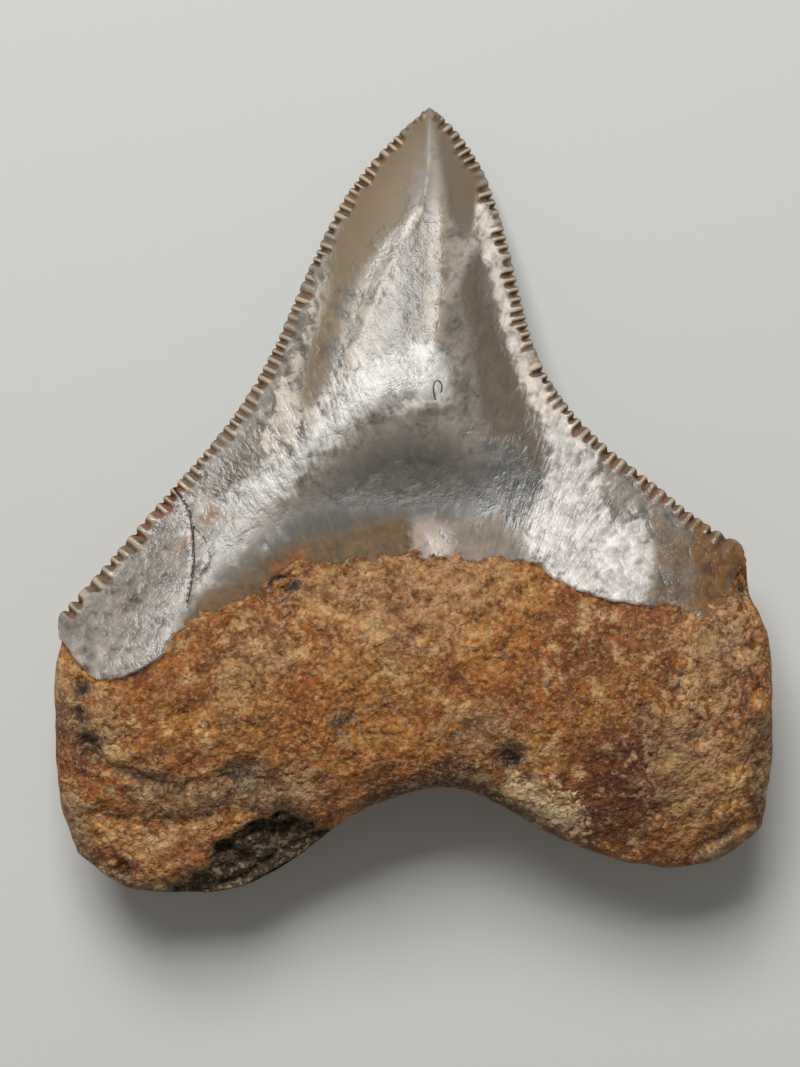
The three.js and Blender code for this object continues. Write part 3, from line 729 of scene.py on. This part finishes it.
def refineTooth(piece):
    mesh = piece.data
    points = readPoints(mesh)
    onLabialSide = readNormals(mesh)[:, 2] > -0.1
    reach = np.where(onLabialSide, toothValues["fineAbove"], toothValues["fineBelow"])
    rim = np.full(len(points), np.inf)
    rimWay = np.zeros((len(points), 2))
    for path in (leftEdge, rightEdge):
        distance, _, _, sideways = measureFromPath(points, path)
        closer = distance < rim
        rim[closer] = distance[closer]
        rimWay[closer] = sideways[closer]

    def alongTheRim(ends):
        run = points[ends[:, 1], :2] - points[ends[:, 0], :2]
        run /= np.maximum(np.hypot(*run.T), 1e-6)[:, None]
        across = np.abs(np.sum(run * rimWay[ends[:, 0]], axis=1))
        near = rim < reach
        return near[ends[:, 0]] & near[ends[:, 1]] & (across < 0.6)

    refine(piece, alongTheRim, toothValues["fineCuts"])
    points = readPoints(mesh)
    looksUp = readNormals(mesh)[:, 2] > 0
    edge = measureFromPath(points, roundedPath(enamelLine, 1))[0]
    thin = np.min([measureFromPath(points, roundedPath(path))[0] for path, _ in crackLines], axis=0)
    wanted = ((edge < toothValues["fineEnamelLine"]) | (thin < toothValues["fineCrack"])) & looksUp
    refine(piece, lambda ends: wanted[ends[:, 0]] & wanted[ends[:, 1]], toothValues["fineCuts"])


refineTooth(tooth)
print("stage: refined", len(tooth.data.vertices), "points")
shapeTooth(tooth)
onlySelect(tooth)
bpy.ops.object.shade_smooth()
tooth.data.calc_loop_triangles()
print("stage: shaped,", len(tooth.data.loop_triangles), "triangles")


materialValues = {
    "fanMiddle": (1.4, -9.0, 0.0),       # the place that the streaks of the enamel open from
    "fanWidth": 9.0,                     # how wide the fan's steeper middle is
    "fanDrop": 16.0,                     # and how much lower its streaks meet
    # how much each noise shifts the edges of the patches, lightens and darkens the enamel (painted
    # glints along its folds, and mottled tone) and raises it
    "edgeShift": {"silk": 0.35, "wrinkles": 0.15, "foil": 0.5},
    "tintSwing": {"silk": 0.7, "wrinkles": 0.8, "foil": 2.0, "grain": 0.8},
    "folds": {"wrinkles": 0.09, "foil": 0.27, "silk": 0.14, "grain": 0.1},
    "rootGrainTint": 1.8,
    "darkest": 0.3,                      # no noise darkens a colour further than this
    "silverRoughness": (0.2, 0.34),
    "bladeRoughness": 0.55,
    "grooveRoughness": 0.6,
    "matteRoughness": 0.9,
    "bumpDepth": 0.5,
    "refraction": 1.63,
}


def feed(tree, socket, value):
    if isinstance(value, bpy.types.NodeSocket):
        tree.links.new(value, socket)
    else:
        socket.default_value = value


def addNode(tree, kind, sockets=None, **settings):
    node = tree.nodes.new("ShaderNode" + kind)
    for name, value in settings.items():
        setattr(node, name, value)
    for name, value in (sockets or {}).items():
        feed(tree, node.inputs[name], value)
    return node


def calc(tree, operation, *values):
    node = addNode(tree, "Math", operation=operation)
    for number, value in enumerate(values):
        feed(tree, node.inputs[number], value)
    return node.outputs[0]


def times(tree, first, second):
    return calc(tree, "MULTIPLY", first, second)


def addUp(tree, *values):
    total = values[0]
    for value in values[1:]:
        total = calc(tree, "ADD", total, value)
    return total


def weighted(tree, noises, shares):
    return addUp(tree, *[times(tree, noises[name], share) for name, share in shares.items()])


def largest(tree, *values):
    found = values[0]
    for value in values[1:]:
        found = calc(tree, "MAXIMUM", found, value)
    return found


def fade(tree, value, low, high, start=0.0, end=1.0):
    limits = {"Value": value, "From Min": low, "From Max": high, "To Min": start, "To Max": end}
    node = addNode(tree, "MapRange", limits, interpolation_type="SMOOTHSTEP")
    return node.outputs["Result"]


def centred(tree, value, amount):
    # a noise from 0 to 1 made to swing about nothing
    return times(tree, calc(tree, "SUBTRACT", value, 0.5), amount)


def blend(tree, amount, first, second):
    node = addNode(tree, "Mix", data_type="FLOAT")
    for number, value in ((0, amount), (2, first), (3, second)):
        feed(tree, node.inputs[number], value)
    return node.outputs[0]


def blendColour(tree, amount, first, second):
    node = addNode(tree, "Mix", data_type="RGBA")
    for number, value in ((0, amount), (6, first), (7, second)):
        feed(tree, node.inputs[number], value)
    return node.outputs[2]


def brighten(tree, tint, factor):
    node = addNode(tree, "VectorMath", operation="SCALE")
    feed(tree, node.inputs[0], tint)
    feed(tree, node.inputs["Scale"], factor)
    return node.outputs[0]


def speckle(tree, place, scale, detail=2.0, roughness=0.5, distortion=0.0):
    node = addNode(tree, "TexNoise", {"Vector": place, "Scale": scale, "Detail": detail,
                                                "Roughness": roughness, "Distortion": distortion})
    return node.outputs["Fac"]


def attribute(tree, name):
    return addNode(tree, "Attribute", attribute_name=name).outputs["Fac"]


def zoneMask(tree, patch, wander):
    # an attribute's edge, shifted in and out by a noise
    shift = centred(tree, wander, patch["ragged"] * 3.5)
    moved = addUp(tree, attribute(tree, patch["name"]), shift)
    return fade(tree, moved, -patch["soft"], patch["soft"], 0.0, patch["strength"])


def fanPlace(tree, place, middle):
    # where a point is on a fan that opens from one place, narrower in the middle than at the sides:
    # x is the angle and y the distance
    away = addNode(tree, "VectorMath", operation="SUBTRACT")
    feed(tree, away.inputs[0], place)
    feed(tree, away.inputs[1], middle)
    parts = addNode(tree, "SeparateXYZ", {"Vector": away.outputs[0]}).outputs
    aside = calc(tree, "DIVIDE", parts["X"], materialValues["fanWidth"])
    fallOff = times(tree, times(tree, aside, aside), -1.0)
    lower = times(tree, calc(tree, "EXPONENT", fallOff), materialValues["fanDrop"])
    rise = addUp(tree, parts["Y"], lower)
    flat = addNode(tree, "CombineXYZ", {"X": parts["X"], "Y": rise})
    radius = addNode(tree, "VectorMath", operation="LENGTH")
    feed(tree, radius.inputs[0], flat.outputs[0])
    angle = calc(tree, "ARCTAN2", parts["X"], rise)
    return addNode(tree, "CombineXYZ", {"X": angle, "Y": radius.outputs["Value"]}).outputs[0]


def fanStreaks(tree, fan, across, along, detail, distortion):
    stretched = addNode(tree, "VectorMath", operation="MULTIPLY")
    feed(tree, stretched.inputs[0], fan)
    feed(tree, stretched.inputs[1], (across, along, 1.0))
    return speckle(tree, stretched.outputs[0], 1.0, detail, 0.55, distortion)


def enamelColour(tree, place, noises, crumbs):
    ragged = weighted(tree, noises, materialValues["edgeShift"])
    mixed = enamelTints["base"]
    masks = {}
    for patch in enamelZones:
        masks[patch["name"]] = zoneMask(tree, patch, ragged)
        mixed = blendColour(tree, masks[patch["name"]], mixed, patch["tint"])
    height = addNode(tree, "SeparateXYZ", {"Vector": place}).outputs["Y"]
    smooth = times(tree, masks["leftBlade"], fade(tree, height, 14.0, 19.0, 0.4, 1.0))
    for name, share in (("rightBlade", 1.0), ("darkStrip", 0.75), ("darkHollow", 0.35)):
        smooth = largest(tree, smooth, times(tree, masks[name], share))
    smooth = largest(tree, smooth, fade(tree, height, 23.0, 27.0))
    lowHollow = times(tree, masks["darkHollow"], fade(tree, height, -2.5, 0.0, 0.75, 0.0))
    matte = largest(tree, masks["tanBase"], times(tree, masks["tanRight"], 0.6), lowHollow)
    # the enamel lightened and darkened along the same noises that fold its bump: painted glints of the
    # crinkled surface, mixed with its mottled tone
    swings = materialValues["tintSwing"].items()
    swing = addUp(tree, *[centred(tree, noises[name], amount) for name, amount in swings])
    mottles = addUp(tree, centred(tree, crumbs[0][1], 0.35), centred(tree, crumbs[1][1], 0.3))
    crinkled = largest(tree, times(tree, masks["foilHighlight"], 0.6), masks["flake"])
    crinkled = largest(tree, crinkled, times(tree, masks["blueGrey"], 0.8))
    swing = addUp(tree, swing, times(tree, mottles, crinkled))
    swing = times(tree, swing, blend(tree, smooth, 1.0, 0.12))
    mixed = brighten(tree, mixed, largest(tree, addUp(tree, 1.0, swing), materialValues["darkest"]))
    return mixed, smooth, matte, masks["amberRight"]


def serrationColour(tree, place, mixed, stained):
    tint = enamelTints
    rim = attribute(tree, "rimDistance")
    grimeAndShade = speckle(tree, place, 0.9, 2.0)
    # a noise that makes the painted crest highlight uneven
    wearAndDimming = speckle(tree, place, 0.45, 2.0)
    crestPaleness = fade(tree, wearAndDimming, 0.3, 0.7, 0.95, 0.55)
    # painted highlight on the serration crests, weaker where stained
    crest = fade(tree, attribute(tree, "ridge"), 0.25, 0.85, 0.0, crestPaleness)
    crest = times(tree, crest, fade(tree, stained, 0.0, 1.0, 1.0, 0.35))
    mixed = blendColour(tree, crest, mixed, tint["crest"])
    # painted shade in the grooves between the serrations, darker in spots and rusty further from the tip
    valley = blendColour(tree, fade(tree, grimeAndShade, 0.5, 0.68), tint["valley"], tint["grimeAndShade"])
    height = addNode(tree, "SeparateXYZ", {"Vector": place}).outputs["Y"]
    rust = fade(tree, height, 7.0, 2.0, 0.15, 0.85)
    rusty = fade(tree, speckle(tree, place, 0.4, 1.0), 0.5, 0.6, 0.0, rust)
    valley = blendColour(tree, rusty, valley, tint["stain"])
    grooved = fade(tree, attribute(tree, "groove"), 0.1, 0.5, 0.0, 0.9)
    mixed = blendColour(tree, grooved, mixed, valley)
    return blendColour(tree, fade(tree, rim, 0.0, 0.14, 0.3, 0.0), mixed, tint["valley"])


def rootGrains(tree, place):
    # crumbs of two sizes; each gives how far up its side a place is and a number for the whole crumb
    warp = addNode(tree, "TexNoise", {"Vector": place, "Scale": 1.1, "Detail": 0.0})
    shift = addNode(tree, "VectorMath", operation="SCALE")
    feed(tree, shift.inputs[0], warp.outputs["Color"])
    feed(tree, shift.inputs["Scale"], 0.4)
    warped = addNode(tree, "VectorMath", operation="ADD")
    feed(tree, warped.inputs[0], place)
    feed(tree, warped.inputs[1], shift.outputs[0])
    made = []
    for scale in (2.3, 1.0):
        crumbs = addNode(tree, "TexVoronoi", {"Vector": warped.outputs[0], "Scale": scale})
        parts = addNode(tree, "SeparateColor", {"Color": crumbs.outputs["Color"]}).outputs
        made.append((calc(tree, "SUBTRACT", 1.0, crumbs.outputs["Distance"]), parts["Red"]))
    return made


def rootColour(tree, place, crumbs, blotch, grain):
    tint = rootTints
    (smallTop, smallNumber), (_, largeNumber) = crumbs
    broad = speckle(tree, place, 0.14, 2.0, 0.6)
    pores = speckle(tree, place, 2.6, 2.0, 0.7)
    mixed = blendColour(tree, fade(tree, broad, 0.35, 0.65), tint["ochre"], tint["rust"])
    ragged = addUp(
        tree, times(tree, blotch, 0.55), times(tree, smallNumber, 0.2), times(tree, grain, 0.25)
    )
    masks = {}
    for patch in rootZones:
        masks[patch["name"]] = zoneMask(tree, patch, ragged)
        mixed = blendColour(tree, masks[patch["name"]], mixed, patch["tint"])
    pale = fade(tree, masks["darkRedLow"], 0.2, 0.8, 1.0, 0.3)
    mixed = blendColour(tree, fade(tree, blotch, 0.5, 0.64, 0.0, 0.8), mixed, tint["umber"])
    patches = times(tree, fade(tree, blotch, 0.46, 0.34, 0.0, 0.75), pale)
    mixed = blendColour(tree, patches, mixed, tint["cream"])
    crumb = addUp(
        tree, centred(tree, smallNumber, 0.5), centred(tree, largeNumber, 0.3),
        centred(tree, grain, materialValues["rootGrainTint"]),
    )
    # painted light and shade on each crumb: lighter on its top, darker down its sides, with a random
    # tone for each crumb
    crumbShadeAndTone = addUp(tree, fade(tree, smallTop, 0.35, 0.75, 0.85, 1.15), crumb)
    mixed = brighten(tree, mixed, largest(tree, crumbShadeAndTone, materialValues["darkest"]))
    sparks = speckle(tree, place, 2.4, 2.0, 0.6)
    bright = times(tree, fade(tree, sparks, 0.52, 0.66, 0.0, 0.45), pale)
    mixed = blendColour(tree, bright, mixed, tint["cream"])
    mixed = blendColour(tree, fade(tree, pores, 0.38, 0.3, 0.0, 0.7), mixed, tint["pore"])
    crystals = addUp(tree, times(tree, grain, 0.6), times(tree, sparks, 0.4))
    speckled = blendColour(tree, fade(tree, crystals, 0.46, 0.62), tint["scarp"], tint["crystal"])
    speckled = blendColour(tree, fade(tree, pores, 0.45, 0.36), speckled, tint["pore"])
    # painted shade in the dug pits and grooves: a dark speckled ring, black where they are deepest
    pitShadeDepth = addUp(tree, attribute(tree, "pits"), centred(tree, grain, 2.4))
    mixed = blendColour(tree, fade(tree, pitShadeDepth, 0.15, 0.5, 0.0, 0.9), mixed, speckled)
    mixed = blendColour(tree, fade(tree, pitShadeDepth, 0.6, 1.0, 0.0, 0.95), mixed, tint["pore"])
    brokenEdge = addUp(tree, attribute(tree, "broken"), centred(tree, grain, 0.8))
    return blendColour(tree, fade(tree, brokenEdge, 0.35, 0.65), mixed, speckled)


def toothMaterial():
    made = bpy.data.materials.new("fossilTooth")
    made.use_nodes = True
    tree = made.node_tree
    shader = tree.nodes["Principled BSDF"]
    source = addNode(tree, "TexCoord").outputs["Object"]
    scaled = addNode(tree, "VectorMath", operation="SCALE")
    feed(tree, scaled.inputs[0], source)
    feed(tree, scaled.inputs["Scale"], 1000.0)
    place = scaled.outputs[0]                             # in millimetres

    fan = fanPlace(tree, place, materialValues["fanMiddle"])
    grain = speckle(tree, place, 1.35, 3.0, 0.7)
    noises = {
        "silk": fanStreaks(tree, fan, 15.0, 0.2, 2.0, 0.8),
        "wrinkles": fanStreaks(tree, fan, 24.0, 0.85, 2.0, 1.0),
        "foil": speckle(tree, place, 0.8, 4.0, 0.6, 0.5),
        "grain": grain,
    }
    blotch = speckle(tree, place, 0.5, 4.0, 0.65)
    crumbs = rootGrains(tree, place)
    feathered = calc(tree, "SUBTRACT", 1.0, attribute(tree, "crispness"))
    crumbly = times(tree, centred(tree, grain, 1.6), feathered)
    onEnamel = fade(tree, addUp(tree, attribute(tree, "enamelSide"), crumbly), -0.04, 0.04)
    enamel, smooth, matte, stained = enamelColour(tree, place, noises, crumbs)
    # a darker band next to the root on the lingual face
    hidden = calc(tree, "SUBTRACT", 1.0, attribute(tree, "looksUp"))
    band = times(tree, fade(tree, attribute(tree, "enamelSide"), 2.2, 3.4, 0.85, 0.0), hidden)
    enamel = blendColour(tree, band, enamel, enamelTints["band"])
    enamel = serrationColour(tree, place, enamel, stained)
    crack = fade(tree, attribute(tree, "crack"), 0.05, 0.13, 1.0, 0.0)
    enamel = blendColour(tree, crack, enamel, enamelTints["crack"])
    root = rootColour(tree, place, crumbs, blotch, grain)
    feed(tree, shader.inputs["Base Color"], blendColour(tree, onEnamel, root, enamel))

    rough = materialValues["matteRoughness"]
    silvery = fade(tree, noises["foil"], 0.3, 0.7, *materialValues["silverRoughness"])
    gloss = blend(tree, smooth, silvery, materialValues["bladeRoughness"])
    gloss = blend(tree, largest(tree, matte, band), gloss, rough)
    grimy = fade(tree, attribute(tree, "groove"), 0.1, 0.5)
    gloss = blend(tree, grimy, gloss, materialValues["grooveRoughness"])
    feed(tree, shader.inputs["Roughness"], blend(tree, onEnamel, rough, gloss))

    rootHeight = addUp(
        tree, times(tree, grain, 0.8), times(tree, crumbs[0][0], 0.26), times(tree, crumbs[1][0], 0.3)
    )
    folds = weighted(tree, noises, materialValues["folds"])
    folds = times(tree, folds, blend(tree, smooth, 1.0, 0.1))
    height = blend(tree, onEnamel, rootHeight, folds)
    depth = materialValues["bumpDepth"] * mm
    bump = addNode(tree, "Bump", {"Height": height, "Distance": depth, "Strength": 1.0})
    feed(tree, shader.inputs["Normal"], bump.outputs[0])
    shader.inputs["IOR"].default_value = materialValues["refraction"]
    return made


tooth.data.materials.clear()
tooth.data.materials.append(toothMaterial())
print("stage: material")


stageValues = {
    "floorSize": 1.2,
    "floorColour": (0.83, 0.84, 0.81, 1.0),
    "floorRoughness": 0.6,
    "fill": 0.15,                        # how bright the room around it is
    "fillColour": (0.98, 1.0, 0.98, 1.0),
    "cameraOver": (-1.125 * mm, -3.15 * mm),
    "cameraHeight": 300 * mm,
    "lens": 118.2,
}
windowValues = {"size": 0.42, "distance": 0.8, "power": 4.9, "rise": 50.0, "turn": 14.0}


def makeFloor():
    bpy.ops.mesh.primitive_plane_add(size=stageValues["floorSize"], location=(0, 0, 0))
    floor = bpy.context.object
    floor.name = "floor"
    paint = bpy.data.materials.new("paleFloor")
    paint.use_nodes = True
    shader = paint.node_tree.nodes["Principled BSDF"]
    shader.inputs["Base Color"].default_value = stageValues["floorColour"]
    shader.inputs["Roughness"].default_value = stageValues["floorRoughness"]
    floor.data.materials.append(paint)


def makeLight():
    rise = math.radians(windowValues["rise"])
    turn = math.radians(windowValues["turn"])
    away = Vector((-math.sin(turn) * math.cos(rise), math.cos(turn) * math.cos(rise), math.sin(rise)))
    lamp = bpy.data.lights.new("window", "AREA")
    lamp.shape = "SQUARE"
    lamp.size = windowValues["size"]
    lamp.energy = windowValues["power"]
    holder = bpy.data.objects.new("window", lamp)
    holder.location = away * windowValues["distance"]
    holder.rotation_euler = away.to_track_quat("Z", "Y").to_euler()
    bpy.context.scene.collection.objects.link(holder)
    sky = bpy.data.worlds.new("room")
    sky.use_nodes = True
    background = sky.node_tree.nodes["Background"]
    background.inputs["Color"].default_value = stageValues["fillColour"]
    background.inputs["Strength"].default_value = stageValues["fill"]
    bpy.context.scene.world = sky


def makeCamera():
    eye = bpy.data.cameras.new("camera")
    eye.lens = stageValues["lens"]
    eye.clip_start = 0.01
    holder = bpy.data.objects.new("camera", eye)
    holder.location = (*stageValues["cameraOver"], stageValues["cameraHeight"])
    bpy.context.scene.collection.objects.link(holder)
    bpy.context.scene.camera = holder


bpy.ops.object.select_all(action="DESELECT")
makeFloor()
makeLight()
makeCamera()
bpy.context.scene.view_settings.view_transform = "Standard"
print("stage: floor, light and camera")

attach(tooth, "root")
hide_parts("tooth")
print("stage: handed over")
